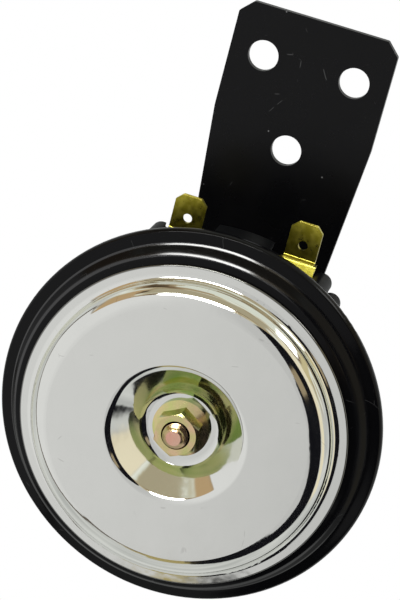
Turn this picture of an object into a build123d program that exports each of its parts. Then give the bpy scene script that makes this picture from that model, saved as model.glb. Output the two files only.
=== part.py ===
from build123d import *
import os
from math import asin, cos, radians, sin, sqrt, tan

# Electromagnetic disc horn on a flat steel bracket, in millimetres.
# Origin: centre of the bracket's single hole, on the face that meets the vehicle.
# +Z runs up the bracket, +Y points into the vehicle, and the tone disc faces -Y.
# Depths are measured along +Y from the widest plane of the rim.

# ---------------------------------------------------------------- bracket
bracket_thickness = 1.5
bracket_width = 32.8
bracket_taper_angle = 4.6
bracket_corner_chamfer = 2.6
bracket_corner_round = 0.5
hole_to_top_edge = 27.2
hole_to_taper_start = 4.8
hole_to_horn_axis = 47.8
mounting_hole_diameter = 6.2
upper_hole_spacing = 18.9
upper_hole_height = 17.2

# ---------------------------------------------------------------- rim seam
rim_radius = 38.0
rim_front = 1.0
rim_edge_round = 1.45
cover_sheet = 0.8
diaphragm_sheet = 0.3
gasket_thickness = 0.4
gasket_width = 2.6
housing_sheet = 0.9
seam_play = 0.65
lip_width = 3.2

# ---------------------------------------------------------------- front cover
cover_top = 4.3
rim_band_width = 2.4
cover_step_width = 1.6
cover_foot_round = 0.6
cover_shoulder_round = 1.1
cover_ring_width = 10.0
cover_opening_flare = 0.9

# ---------------------------------------------------------------- diaphragm and hub
diaphragm_rim_width = 4.2
diaphragm_cone_width = 5.9
diaphragm_cone_rise = 1.2
diaphragm_bend_round = 1.5
hub_washer_radius = 8.0
hub_washer_thickness = 0.6
hub_spacer_radius = 4.6

# ---------------------------------------------------------------- tone disc
disc_sheet = 0.8
disc_inset = 1.6
disc_flange_height = 5.65
disc_face_height = 10.1
disc_flange_width = 2.75
disc_shoulder_angle = 80.0
disc_cup_radius = 13.4
disc_cup_wall_width = 5.8
disc_cup_floor_height = 4.9
disc_shoulder_flat = 0.1
disc_shoulder_top_share = 0.74
disc_cup_rim_round = 1.2
disc_cup_floor_round = 2.4
disc_edge_round = 0.25

# ---------------------------------------------------------------- stud and flange nut
stud_diameter = 5.0
stud_chamfer = 0.9
stud_projection = 1.7
stud_grip = 9.0
thread_clearance = 0.05
nut_flange_diameter = 11.3
nut_flange_edge = 0.8
nut_flange_slope = 20.0
nut_width_across_flats = 8.0
nut_height = 5.0
nut_countersink = 0.3
nut_bevel_angle = 30.0

# ---------------------------------------------------------------- armature
armature_neck_radius = 7.0
armature_neck_length = 4.0
armature_radius = 9.6
armature_length = 21.5
collar_width = 2.8
collar_thickness = 1.8
collar_to_leaf = 0.1
air_gap = 0.8
armature_edge_chamfer = 0.5

# ---------------------------------------------------------------- housing
housing_inset = 6.8
housing_shoulder_depth = 14.4
housing_ledge_width = 7.8
housing_rear_depth = 27.4
housing_boss_gap = 0.3
housing_boss_rise = 1.4
housing_draft = 0.5
housing_bend_round = 2.0
housing_boss_round = 1.2

# ---------------------------------------------------------------- core, coil and plate
core_clearance = 0.1
core_stud_diameter = 8.0
core_stud_projection = 1.5
core_stud_clearance = 0.2
core_stud_chamfer = 0.8
plunger_clearance = 0.4
bobbin_wall = 0.8
bobbin_flange_margin = 0.5
bobbin_flange_thickness = 0.9
winding_build = 3.1
winding_clearance = 0.05
plate_thickness = 1.5
plate_bore_clearance = 1.0
plate_rivet_angles = (60, 120, 240, 300)

# ---------------------------------------------------------------- rivets
rivet_shank_radius = 1.2
rivet_head_radius = 1.8
rivet_head_height = 0.8
rivet_hole_clearance = 0.05

# ---------------------------------------------------------------- contact breaker
insulator_thickness = 0.8
leaf_thickness = 0.3
leaf_width = 6.0
leaf_tip_clearance = 0.7
contact_arm_thickness = 0.8
contact_arm_width = 7.0
contact_arm_tip_clearance = 1.2
clamp_thickness = 1.0
breaker_width = 10.0
breaker_length = 4.0
breaker_edge_margin = 0.7
breaker_rivet_spacing = 5.4
contact_point_radius = 1.5
contact_point_margin = 0.7
contact_insulation_gap = 0.6

# ---------------------------------------------------------------- adjusting screw
screw_diameter = 4.0
screw_angle = 22.4
screw_coil_gap = 0.4
screw_clearance = 0.3
screw_head_projection = 4.6
screw_slot_width = 0.8
screw_slot_depth = 1.0
screw_ear_radius = 3.0
lock_nut_width_across_flats = 7.0
lock_nut_height = 2.2

# ---------------------------------------------------------------- bracket fasteners
core_nut_height = 4.0
bracket_nut_width_across_flats = 13.0
bracket_nut_height = 6.5
lock_washer_inner_radius = 4.1
lock_washer_outer_radius = 7.0
lock_washer_thickness = 2.0
lock_washer_split = 1.2
nut_chamfer_angle = 30.0

# ---------------------------------------------------------------- terminals
blade_width = 6.3
blade_thickness = 0.8
blade_length = 7.35
blade_tip_chamfer = 1.4
blade_edge_bevel = 0.25
blade_hole_radius = 0.95
blade_hole_drop = 4.65
terminal_spread_angle = 19.7
terminal_centre_x = -0.65
terminal_joggle = 2.0
terminal_joggle_drop = 0.5
terminal_slope_depth = 1.0
terminal_slope_height = 2.4
terminal_shoulder_drop = 0.4
terminal_base_width = 7.2
terminal_tail_width = 5.0
terminal_tail_length = 6.6
terminal_plate_gap = 1.2
terminal_outer_bend = 0.9
terminal_inner_bend = 0.3
left_terminal_drop = 1.9

# ---------------------------------------------------------------- terminal block
block_clearance = 0.2
block_lip_gap = 0.4
block_half_angle = 38.0
block_slot_play = 0.1
block_rear_wall = 0.8
tongue_wall = 0.8
tongue_length = 1.9
window_clearance = 0.2
divider_half_angle = 9.0
divider_rise = 1.7
post_radius = 2.0
post_angles = (28.1, 34.8)
post_rises = (0.45, -0.95)

# ---------------------------------------------------------------- derived places
boss_back = housing_rear_depth + housing_boss_rise
bracket_front = boss_back + core_nut_height
bracket_back = bracket_front + bracket_thickness
rim_y = -bracket_back
axis_z = -hole_to_horn_axis
horn_axis = Axis((0, 0, axis_z), (0, 1, 0))
section = Plane(origin=(0, rim_y, axis_z), x_dir=(0, 1, 0), z_dir=(1, 0, 0))

diaphragm_front = -rim_front + cover_sheet
gasket_front = diaphragm_front + diaphragm_sheet
flange_front = gasket_front + gasket_thickness
lip_front = flange_front + housing_sheet
rim_back = lip_front + cover_sheet
seam_radius = rim_radius - cover_sheet - seam_play
lip_radius = rim_radius - lip_width
cover_foot_radius = rim_radius - rim_band_width
cover_shoulder_radius = cover_foot_radius - cover_step_width
cover_opening_radius = cover_shoulder_radius - cover_ring_width
diaphragm_cone_outer = seam_radius - diaphragm_rim_width
diaphragm_cone_inner = diaphragm_cone_outer - diaphragm_cone_width

disc_radius = cover_shoulder_radius - disc_inset
disc_shoulder_foot = disc_radius - disc_flange_width
disc_shoulder_rise = disc_face_height - disc_flange_height
disc_shoulder_top = disc_shoulder_foot - disc_shoulder_rise / tan(radians(disc_shoulder_angle))
disc_shoulder_rounds = (disc_shoulder_rise - disc_shoulder_flat) / (1 - cos(radians(disc_shoulder_angle)))
disc_shoulder_top_round = disc_shoulder_rounds * disc_shoulder_top_share
disc_shoulder_foot_round = disc_shoulder_rounds - disc_shoulder_top_round
disc_cup_floor_radius = disc_cup_radius - disc_cup_wall_width
hub_front = diaphragm_front - diaphragm_cone_rise
disc_seat = -disc_cup_floor_height + disc_sheet
nut_seat = -disc_cup_floor_height
nut_top = nut_seat - nut_height
stud_tip = nut_top - stud_projection
stud_radius = stud_diameter / 2
stud_bore_radius = stud_radius + thread_clearance

housing_radius = rim_radius - housing_inset
housing_rear_radius = housing_radius - housing_ledge_width
plate_radius = housing_radius - housing_draft - housing_bend_round
plate_rivet_circle = (plate_radius + housing_rear_radius + housing_boss_round) / 2
shoulder_seat = housing_shoulder_depth - housing_sheet
rear_inside = housing_rear_depth - housing_sheet
boss_inside = boss_back - housing_sheet

armature_front = hub_front + diaphragm_sheet
armature_back = armature_front + armature_length
core_front = armature_back + air_gap
core_radius = armature_radius + plunger_clearance - core_clearance
core_stud_radius = core_stud_diameter / 2
washer_back = bracket_back + lock_washer_thickness
bracket_nut_back = washer_back + bracket_nut_height
core_stud_end = bracket_nut_back + core_stud_projection
housing_boss_radius = core_radius + housing_boss_gap + housing_sheet / 2 + housing_boss_rise
bobbin_bore = armature_radius + plunger_clearance
bobbin_tube_radius = bobbin_bore + bobbin_wall
winding_radius = bobbin_tube_radius + winding_build
bobbin_flange_radius = winding_radius + bobbin_flange_margin

plate_front = shoulder_seat - plate_thickness
leaf_back = plate_front - insulator_thickness
leaf_front = leaf_back - leaf_thickness
arm_back = leaf_front - insulator_thickness
arm_front = arm_back - contact_arm_thickness
clamp_back = arm_front - insulator_thickness
clamp_front = clamp_back - clamp_thickness
collar_radius = armature_radius + collar_width
collar_back = leaf_front - collar_to_leaf
collar_front = collar_back - collar_thickness
breaker_outer_radius = plate_radius - breaker_edge_margin
breaker_inner_radius = breaker_outer_radius - breaker_length
breaker_rivet_radius = sqrt(plate_rivet_circle**2 - (breaker_rivet_spacing / 2) ** 2)
leaf_tip_radius = armature_radius + leaf_tip_clearance
contact_arm_tip_radius = collar_radius + contact_arm_tip_clearance
contact_point_circle = contact_arm_tip_radius + contact_point_margin + contact_point_radius
screw_radius = screw_diameter / 2
screw_circle = bobbin_flange_radius + screw_coil_gap + screw_radius
screw_offset_x = screw_circle * sin(radians(screw_angle))
screw_offset_down = screw_circle * cos(radians(screw_angle))

base_back = plate_front - terminal_plate_gap
base_front = base_back - blade_thickness
blade_depth = base_front + terminal_joggle
blade_back = blade_depth + blade_thickness
block_inner_radius = housing_radius + block_clearance
block_outer_radius = lip_radius - block_lip_gap
block_back = base_back + block_slot_play + block_rear_wall
block_step_depth = rim_back + block_clearance
tongue_front = base_front - block_slot_play - tongue_wall
tongue_width = terminal_tail_width + 2 * (block_slot_play + tongue_wall)
tongue_inner_radius = housing_radius - tongue_length
divider_radius = block_outer_radius + divider_rise
blade_offset_x = block_outer_radius * sin(radians(terminal_spread_angle))
terminal_base_height = housing_radius
terminal_joggle_height = block_outer_radius - terminal_joggle_drop
terminal_tail_height = terminal_base_height - terminal_tail_length
terminal_shoulder_height = terminal_joggle_height - terminal_shoulder_drop
terminal_foot_height = terminal_joggle_height - terminal_slope_height
blade_top_height = terminal_joggle_height + blade_length


def station(depth):
    """Plane across the horn at a depth, facing the tone disc, with its centre on the horn axis."""
    return Plane(origin=(0, rim_y + depth, axis_z), x_dir=(1, 0, 0), z_dir=(0, -1, 0))


def hex_across(width):
    """Corner radius of a hexagon of a width across flats."""
    return width / (2 * cos(radians(30)))


os.makedirs("parts", exist_ok=True)

# Flat mounting bracket: parallel sides above, a slight taper and a round end below.
half_width = bracket_width / 2
taper = radians(bracket_taper_angle)
half_width_at_axis = half_width - (hole_to_horn_axis + hole_to_taper_start) * tan(taper)
bracket_end_radius = half_width_at_axis * cos(taper)
tangent_x = bracket_end_radius * cos(taper)
tangent_z = axis_z - bracket_end_radius * sin(taper)
with BuildPart() as mounting_bracket:
    with BuildSketch(Plane.XZ) as bracket_outline:
        with BuildLine():
            Polyline(
                (tangent_x, tangent_z),
                (half_width, hole_to_taper_start),
                (half_width, hole_to_top_edge - bracket_corner_chamfer),
                (half_width - bracket_corner_chamfer, hole_to_top_edge),
                (-half_width + bracket_corner_chamfer, hole_to_top_edge),
                (-half_width, hole_to_top_edge - bracket_corner_chamfer),
                (-half_width, hole_to_taper_start),
                (-tangent_x, tangent_z),
            )
            ThreePointArc(
                (-tangent_x, tangent_z),
                (0, axis_z - bracket_end_radius),
                (tangent_x, tangent_z),
            )
        make_face()
        top_corners = bracket_outline.vertices().sort_by(Axis.Y)[-4:]
        fillet(top_corners, radius=bracket_corner_round)
        with Locations((0, upper_hole_height)):
            with GridLocations(upper_hole_spacing, 0, 2, 1):
                Circle(mounting_hole_diameter / 2, mode=Mode.SUBTRACT)
        Circle(mounting_hole_diameter / 2, mode=Mode.SUBTRACT)
        with Locations((0, axis_z)):
            Circle(core_stud_radius + core_stud_clearance, mode=Mode.SUBTRACT)
    extrude(amount=bracket_thickness)
mounting_bracket.part.label = "mounting_bracket"
export_step(mounting_bracket.part, "parts/mounting_bracket.step")

# Pressed front cover: its edge folds round the seam, a conical step lifts it under the disc.
with BuildPart() as front_cover:
    with BuildSketch(section):
        with BuildLine():
            FilletPolyline(
                (rim_back, lip_radius),
                (rim_back, rim_radius),
                (-rim_front, rim_radius),
                (-rim_front, cover_foot_radius),
                (-cover_top, cover_shoulder_radius),
                (-cover_top, cover_opening_radius),
                (-cover_top + cover_opening_flare + cover_sheet, cover_opening_radius),
                radius=[
                    rim_edge_round,
                    rim_edge_round,
                    cover_foot_round,
                    cover_shoulder_round,
                    cover_shoulder_round,
                ],
            )
            offset(amount=cover_sheet, side=Side.LEFT)
        make_face()
    revolve(axis=horn_axis)
front_cover.part.label = "front_cover"
export_step(front_cover.part, "parts/front_cover.step")

# Gasket ring between the diaphragm and the housing flange.
with BuildPart() as rim_gasket:
    with BuildSketch(section):
        with BuildLine():
            Polyline(
                (gasket_front, seam_radius - gasket_width),
                (gasket_front, seam_radius),
                (flange_front, seam_radius),
                (flange_front, seam_radius - gasket_width),
                close=True,
            )
        make_face()
    revolve(axis=horn_axis)
rim_gasket.part.label = "rim_gasket"
export_step(rim_gasket.part, "parts/rim_gasket.step")

# Spring steel diaphragm with a shallow cone that carries the hub.
with BuildPart() as diaphragm:
    with BuildSketch(section):
        with BuildLine():
            FilletPolyline(
                (diaphragm_front, seam_radius),
                (diaphragm_front, diaphragm_cone_outer),
                (hub_front, diaphragm_cone_inner),
                (hub_front, stud_bore_radius),
                radius=diaphragm_bend_round,
            )
            offset(amount=diaphragm_sheet, side=Side.LEFT)
        make_face()
    revolve(axis=horn_axis)
diaphragm.part.label = "diaphragm"
export_step(diaphragm.part, "parts/diaphragm.step")

# Washer and spacer that hold the tone disc clear of the diaphragm.
with BuildPart() as hub_washer:
    with BuildSketch(station(hub_front)):
        Circle(hub_washer_radius)
        Circle(stud_bore_radius, mode=Mode.SUBTRACT)
    extrude(amount=hub_washer_thickness)
    washer_front_edges = hub_washer.edges().group_by(Axis.Y)[0].filter_by(GeomType.CIRCLE)
    chamfer(washer_front_edges.sort_by(SortBy.RADIUS)[-1], length=hub_washer_thickness / 3)
hub_washer.part.label = "hub_washer"
export_step(hub_washer.part, "parts/hub_washer.step")

with BuildPart() as hub_spacer:
    with BuildSketch(station(hub_front - hub_washer_thickness)):
        Circle(hub_spacer_radius)
        Circle(stud_bore_radius, mode=Mode.SUBTRACT)
    extrude(amount=hub_front - hub_washer_thickness - disc_seat)
hub_spacer.part.label = "hub_spacer"
export_step(hub_spacer.part, "parts/hub_spacer.step")

# Tone disc: one chromed pressing with a flat flange, a raised face and a centre cup.
with BuildPart() as tone_disc:
    with BuildSketch(section):
        with BuildLine():
            FilletPolyline(
                (-disc_flange_height, disc_radius),
                (-disc_flange_height, disc_shoulder_foot),
                (-disc_face_height, disc_shoulder_top),
                (-disc_face_height, disc_cup_radius),
                (-disc_cup_floor_height, disc_cup_floor_radius),
                (-disc_cup_floor_height, stud_bore_radius),
                radius=[
                    disc_shoulder_foot_round,
                    disc_shoulder_top_round,
                    disc_cup_rim_round,
                    disc_cup_floor_round,
                ],
            )
            offset(amount=disc_sheet, side=Side.LEFT)
        make_face()
    revolve(axis=horn_axis)
    disc_edges = tone_disc.edges().filter_by(GeomType.CIRCLE).sort_by(SortBy.RADIUS)[-2:]
    fillet(disc_edges, radius=disc_edge_round)
tone_disc.part.label = "tone_disc"
export_step(tone_disc.part, "parts/tone_disc.step")

# Flange nut: a hexagon standing on a sloped round flange, bevelled at the top.
nut_corner_radius = hex_across(nut_width_across_flats)
nut_flange_radius = nut_flange_diameter / 2
nut_bevel_drop = (nut_corner_radius - nut_width_across_flats / 2) * tan(radians(nut_bevel_angle))
flange_rise = nut_flange_radius * tan(radians(nut_flange_slope))
with BuildPart() as tone_disc_nut:
    with BuildSketch(station(nut_seat)):
        RegularPolygon(nut_width_across_flats / 2, 6, major_radius=False, rotation=30)
    extrude(amount=nut_height)
    with BuildSketch(section) as nut_envelope:
        with BuildLine():
            Polyline(
                (nut_seat, 0),
                (nut_seat, nut_corner_radius),
                (nut_top + nut_bevel_drop, nut_corner_radius),
                (nut_top, nut_width_across_flats / 2),
                (nut_top, 0),
                close=True,
            )
        make_face()
    revolve(axis=horn_axis, mode=Mode.INTERSECT)
    with BuildSketch(section) as nut_flange:
        with BuildLine():
            Polyline(
                (nut_seat, 0),
                (nut_seat, nut_flange_radius),
                (nut_seat - nut_flange_edge, nut_flange_radius),
                (nut_seat - nut_flange_edge - flange_rise, 0),
                close=True,
            )
        make_face()
    revolve(axis=horn_axis)
    with BuildSketch(section) as nut_bore:
        with BuildLine():
            Polyline(
                (nut_seat, 0),
                (nut_seat, stud_bore_radius),
                (nut_top + nut_countersink, stud_bore_radius),
                (nut_top, stud_bore_radius + nut_countersink),
                (nut_top, 0),
                close=True,
            )
        make_face()
    revolve(axis=horn_axis, mode=Mode.SUBTRACT)
tone_disc_nut.part.label = "tone_disc_nut"
export_step(tone_disc_nut.part, "parts/tone_disc_nut.step")

# Threaded stud, fixed in the armature and clamped to the disc by the flange nut.
with BuildPart() as armature_stud:
    with BuildSketch(section):
        with BuildLine():
            Polyline(
                (armature_front + stud_grip, 0),
                (armature_front + stud_grip, stud_radius),
                (stud_tip + stud_chamfer, stud_radius),
                (stud_tip, stud_radius - stud_chamfer),
                (stud_tip, 0),
                close=True,
            )
        make_face()
    revolve(axis=horn_axis)
armature_stud.part.label = "armature_stud"
export_step(armature_stud.part, "parts/armature_stud.step")

# Turned soft-iron armature: a neck behind the diaphragm, a collar and a plunger.
with BuildPart() as armature:
    with BuildSketch(section):
        with BuildLine():
            Polyline(
                (armature_front, 0),
                (armature_front, armature_neck_radius),
                (armature_front + armature_neck_length, armature_neck_radius),
                (armature_front + armature_neck_length, armature_radius),
                (collar_front, armature_radius),
                (collar_front, collar_radius),
                (collar_back, collar_radius),
                (collar_back, armature_radius),
                (armature_back - armature_edge_chamfer, armature_radius),
                (armature_back, armature_radius - armature_edge_chamfer),
                (armature_back, 0),
                close=True,
            )
        make_face()
    revolve(axis=horn_axis)
    with BuildSketch(station(armature_front + stud_grip)):
        Circle(stud_bore_radius)
    extrude(amount=stud_grip, mode=Mode.SUBTRACT)
armature.part.label = "armature"
export_step(armature.part, "parts/armature.step")

# Deep-drawn steel housing: seam flange, wide front chamber, shoulder, coil chamber, rear boss.
with BuildPart() as housing:
    with BuildSketch(section):
        with BuildLine():
            FilletPolyline(
                (lip_front, seam_radius),
                (lip_front, housing_radius),
                (housing_shoulder_depth, housing_radius - housing_draft),
                (housing_shoulder_depth, housing_rear_radius),
                (housing_rear_depth, housing_rear_radius - housing_draft),
                (housing_rear_depth, housing_boss_radius),
                (boss_back, housing_boss_radius - housing_boss_rise),
                (boss_back, core_stud_radius + core_stud_clearance),
                radius=[
                    housing_boss_round,
                    housing_bend_round,
                    housing_boss_round,
                    housing_bend_round,
                    housing_boss_round,
                    housing_boss_round,
                ],
            )
            offset(amount=housing_sheet, side=Side.RIGHT)
        make_face()
    revolve(axis=horn_axis)
    rivet_hole_radius = rivet_shank_radius + rivet_hole_clearance
    with BuildSketch(station(housing_shoulder_depth)):
        for angle in plate_rivet_angles:
            with Locations(
                (plate_rivet_circle * sin(radians(angle)), plate_rivet_circle * cos(radians(angle)))
            ):
                Circle(rivet_hole_radius)
        with Locations((0, -breaker_rivet_radius)):
            with GridLocations(breaker_rivet_spacing, 0, 2, 1):
                Circle(rivet_hole_radius)
    extrude(amount=housing_sheet, mode=Mode.SUBTRACT)
    with BuildSketch(station(housing_rear_depth)):
        with Locations((screw_offset_x, -screw_offset_down)):
            Circle(screw_diameter / 2 + thread_clearance)
    extrude(amount=housing_sheet + housing_bend_round, mode=Mode.SUBTRACT)
    with BuildSketch(Plane.XY.offset(axis_z)):
        with Locations((terminal_centre_x, rim_y + (tongue_front + block_back) / 2)):
            with GridLocations(2 * blade_offset_x, 0, 2, 1):
                Rectangle(
                    tongue_width + 2 * window_clearance,
                    block_back - tongue_front + 2 * window_clearance,
                )
    extrude(amount=rim_radius, mode=Mode.SUBTRACT)
housing.part.label = "housing"
export_step(housing.part, "parts/housing.step")

# Steel plate across the housing shoulder: it holds the coil and carries the contact breaker.
with BuildPart() as pole_plate:
    with BuildSketch(station(shoulder_seat)):
        Circle(plate_radius)
        Circle(armature_radius + plate_bore_clearance, mode=Mode.SUBTRACT)
        for angle in plate_rivet_angles:
            with Locations(
                (plate_rivet_circle * sin(radians(angle)), plate_rivet_circle * cos(radians(angle)))
            ):
                Circle(rivet_hole_radius, mode=Mode.SUBTRACT)
        with Locations((0, -breaker_rivet_radius)):
            with GridLocations(breaker_rivet_spacing, 0, 2, 1):
                Circle(rivet_hole_radius, mode=Mode.SUBTRACT)
        with Locations((screw_offset_x, -screw_offset_down)):
            Circle(screw_diameter / 2 + screw_clearance, mode=Mode.SUBTRACT)
    extrude(amount=plate_thickness)
pole_plate.part.label = "pole_plate"
export_step(pole_plate.part, "parts/pole_plate.step")

# Rivets that fasten the plate to the housing shoulder, with a domed head at each end.
def rivet(front, back, centre):
    """Rivet gripping from a front depth to a back depth, at a place across the horn."""
    centre_x, centre_z = centre
    dome_radius = (rivet_head_radius**2 + rivet_head_height**2) / (2 * rivet_head_height)
    dome_angle = asin(rivet_head_radius / dome_radius) / 2
    dome_middle = rivet_head_height - dome_radius + dome_radius * cos(dome_angle)
    dome_middle_radius = dome_radius * sin(dome_angle)
    rivet_axis = Axis((centre_x, 0, axis_z + centre_z), (0, 1, 0))
    rivet_section = Plane(
        origin=(centre_x, rim_y, axis_z + centre_z), x_dir=(0, 1, 0), z_dir=(1, 0, 0)
    )
    with BuildPart() as fastener:
        with BuildSketch(rivet_section):
            with BuildLine():
                Line((front - rivet_head_height, 0), (back + rivet_head_height, 0))
                ThreePointArc(
                    (back + rivet_head_height, 0),
                    (back + dome_middle, dome_middle_radius),
                    (back, rivet_head_radius),
                )
                Polyline(
                    (back, rivet_head_radius),
                    (back, rivet_shank_radius),
                    (front, rivet_shank_radius),
                    (front, rivet_head_radius),
                )
                ThreePointArc(
                    (front, rivet_head_radius),
                    (front - dome_middle, dome_middle_radius),
                    (front - rivet_head_height, 0),
                )
            make_face()
        revolve(axis=rivet_axis)
    return fastener


for index, angle in enumerate(plate_rivet_angles):
    plate_rivet = rivet(
        plate_front,
        housing_shoulder_depth,
        (plate_rivet_circle * sin(radians(angle)), plate_rivet_circle * cos(radians(angle))),
    )
    plate_rivet.part.label = f"plate_rivet_{index + 1}"
    export_step(plate_rivet.part, f"parts/plate_rivet_{index + 1}.step")

# Soft-iron core, turned in one piece with the threaded mounting stud behind it.
with BuildPart() as core_stud:
    with BuildSketch(section):
        with BuildLine():
            Polyline(
                (core_front, 0),
                (core_front, core_radius - armature_edge_chamfer),
                (core_front + armature_edge_chamfer, core_radius),
                (boss_inside, core_radius),
                (boss_inside, core_stud_radius),
                (core_stud_end - core_stud_chamfer, core_stud_radius),
                (core_stud_end, core_stud_radius - core_stud_chamfer),
                (core_stud_end, 0),
                close=True,
            )
        make_face()
    revolve(axis=horn_axis)
core_stud.part.label = "core_stud"
export_step(core_stud.part, "parts/core_stud.step")

# Moulded bobbin and its enamelled copper winding.
with BuildPart() as coil_bobbin:
    with BuildSketch(section):
        with BuildLine():
            Polyline(
                (shoulder_seat, bobbin_bore),
                (shoulder_seat, bobbin_flange_radius),
                (shoulder_seat + bobbin_flange_thickness, bobbin_flange_radius),
                (shoulder_seat + bobbin_flange_thickness, bobbin_tube_radius),
                (rear_inside - bobbin_flange_thickness, bobbin_tube_radius),
                (rear_inside - bobbin_flange_thickness, bobbin_flange_radius),
                (rear_inside, bobbin_flange_radius),
                (rear_inside, bobbin_bore),
                close=True,
            )
        make_face()
    revolve(axis=horn_axis)
coil_bobbin.part.label = "coil_bobbin"
export_step(coil_bobbin.part, "parts/coil_bobbin.step")

with BuildPart() as coil_winding:
    with BuildSketch(section):
        with BuildLine():
            Polyline(
                (shoulder_seat + bobbin_flange_thickness, bobbin_tube_radius + winding_clearance),
                (shoulder_seat + bobbin_flange_thickness, winding_radius),
                (rear_inside - bobbin_flange_thickness, winding_radius),
                (rear_inside - bobbin_flange_thickness, bobbin_tube_radius + winding_clearance),
                close=True,
            )
        make_face()
    revolve(axis=horn_axis)
coil_winding.part.label = "coil_winding"
export_step(coil_winding.part, "parts/coil_winding.step")

# Contact breaker: insulators, a moving leaf, a fixed arm and a clamp, stacked on two rivets.
stack_centre = (breaker_inner_radius + breaker_outer_radius) / 2
stack_length = breaker_outer_radius - breaker_inner_radius
insulator_backs = {
    "breaker_base_insulator": plate_front,
    "breaker_middle_insulator": leaf_front,
    "breaker_front_insulator": arm_front,
}
for name, back in insulator_backs.items():
    with BuildPart() as insulator:
        with BuildSketch(station(back)) as insulator_outline:
            with Locations((0, -stack_centre)):
                Rectangle(breaker_width, stack_length)
            fillet(insulator_outline.vertices(), radius=insulator_thickness)
            with Locations((0, -breaker_rivet_radius)):
                with GridLocations(breaker_rivet_spacing, 0, 2, 1):
                    Circle(rivet_hole_radius, mode=Mode.SUBTRACT)
        extrude(amount=insulator_thickness)
    insulator.part.label = name
    export_step(insulator.part, f"parts/{name}.step")

with BuildPart() as breaker_clamp:
    with BuildSketch(station(clamp_back)) as clamp_outline:
        with Locations((0, -stack_centre)):
            Rectangle(breaker_width, stack_length)
        fillet(clamp_outline.vertices(), radius=clamp_thickness)
        with Locations((0, -breaker_rivet_radius)):
            with GridLocations(breaker_rivet_spacing, 0, 2, 1):
                Circle(rivet_hole_radius, mode=Mode.SUBTRACT)
    extrude(amount=clamp_thickness)
breaker_clamp.part.label = "breaker_clamp"
export_step(breaker_clamp.part, "parts/breaker_clamp.step")

# The leaf reaches in behind the armature collar, which lifts it off the fixed contact.
leaf_length = breaker_outer_radius - leaf_tip_radius
with BuildPart() as moving_contact_leaf:
    with BuildSketch(station(leaf_back)):
        with Locations((0, -leaf_tip_radius - leaf_length / 2)):
            Rectangle(leaf_width, leaf_length)
        with Locations((0, -stack_centre)):
            Rectangle(breaker_width - insulator_thickness, stack_length)
        with Locations((0, -breaker_rivet_radius)):
            with GridLocations(breaker_rivet_spacing, 0, 2, 1):
                Circle(rivet_shank_radius + contact_insulation_gap, mode=Mode.SUBTRACT)
    extrude(amount=leaf_thickness)
moving_contact_leaf.part.label = "moving_contact_leaf"
export_step(moving_contact_leaf.part, "parts/moving_contact_leaf.step")

# The fixed arm has a round ear at its side, where the adjusting screw bears on it.
arm_length = breaker_outer_radius - contact_arm_tip_radius
with BuildPart() as fixed_contact_arm:
    with BuildSketch(station(arm_back)) as arm_outline:
        with Locations((0, -contact_arm_tip_radius - arm_length / 2)):
            Rectangle(contact_arm_width, arm_length)
        with Locations((0, -stack_centre)):
            Rectangle(breaker_width - insulator_thickness, stack_length)
        with Locations((screw_offset_x, -screw_offset_down)):
            Circle(screw_ear_radius)
        with Locations((screw_offset_x / 2, -screw_offset_down)):
            Rectangle(screw_offset_x, 2 * screw_ear_radius)
        with Locations((0, -breaker_rivet_radius)):
            with GridLocations(breaker_rivet_spacing, 0, 2, 1):
                Circle(rivet_shank_radius + contact_insulation_gap, mode=Mode.SUBTRACT)
    extrude(amount=contact_arm_thickness)
fixed_contact_arm.part.label = "fixed_contact_arm"
export_step(fixed_contact_arm.part, "parts/fixed_contact_arm.step")

contact_point_height = (leaf_front - arm_back) / 2
with BuildPart() as fixed_contact_point:
    with BuildSketch(station(arm_back + contact_point_height)):
        with Locations((0, -contact_point_circle)):
            Circle(contact_point_radius)
    extrude(amount=contact_point_height)
fixed_contact_point.part.label = "fixed_contact_point"
export_step(fixed_contact_point.part, "parts/fixed_contact_point.step")

with BuildPart() as moving_contact_point:
    with BuildSketch(station(leaf_front)):
        with Locations((0, -contact_point_circle)):
            Circle(contact_point_radius)
    extrude(amount=contact_point_height)
moving_contact_point.part.label = "moving_contact_point"
export_step(moving_contact_point.part, "parts/moving_contact_point.step")

for side, offset_x in {"left": -breaker_rivet_spacing / 2, "right": breaker_rivet_spacing / 2}.items():
    breaker_rivet = rivet(clamp_front, housing_shoulder_depth, (offset_x, -breaker_rivet_radius))
    breaker_rivet.part.label = f"breaker_rivet_{side}"
    export_step(breaker_rivet.part, f"parts/breaker_rivet_{side}.step")

# Slotted adjusting screw through the rear wall, set by a lock nut.
screw_end = housing_rear_depth + screw_head_projection
with BuildPart() as adjusting_screw:
    with BuildSketch(station(screw_end)):
        with Locations((screw_offset_x, -screw_offset_down)):
            Circle(screw_radius)
    extrude(amount=screw_end - arm_back)
    screw_edges = adjusting_screw.edges().filter_by(GeomType.CIRCLE)
    chamfer(screw_edges, length=screw_radius / 5)
    with BuildSketch(station(screw_end)):
        with Locations((screw_offset_x, -screw_offset_down)):
            Rectangle(screw_diameter, screw_slot_width)
    extrude(amount=screw_slot_depth, mode=Mode.SUBTRACT)
adjusting_screw.part.label = "adjusting_screw"
export_step(adjusting_screw.part, "parts/adjusting_screw.step")


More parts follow.
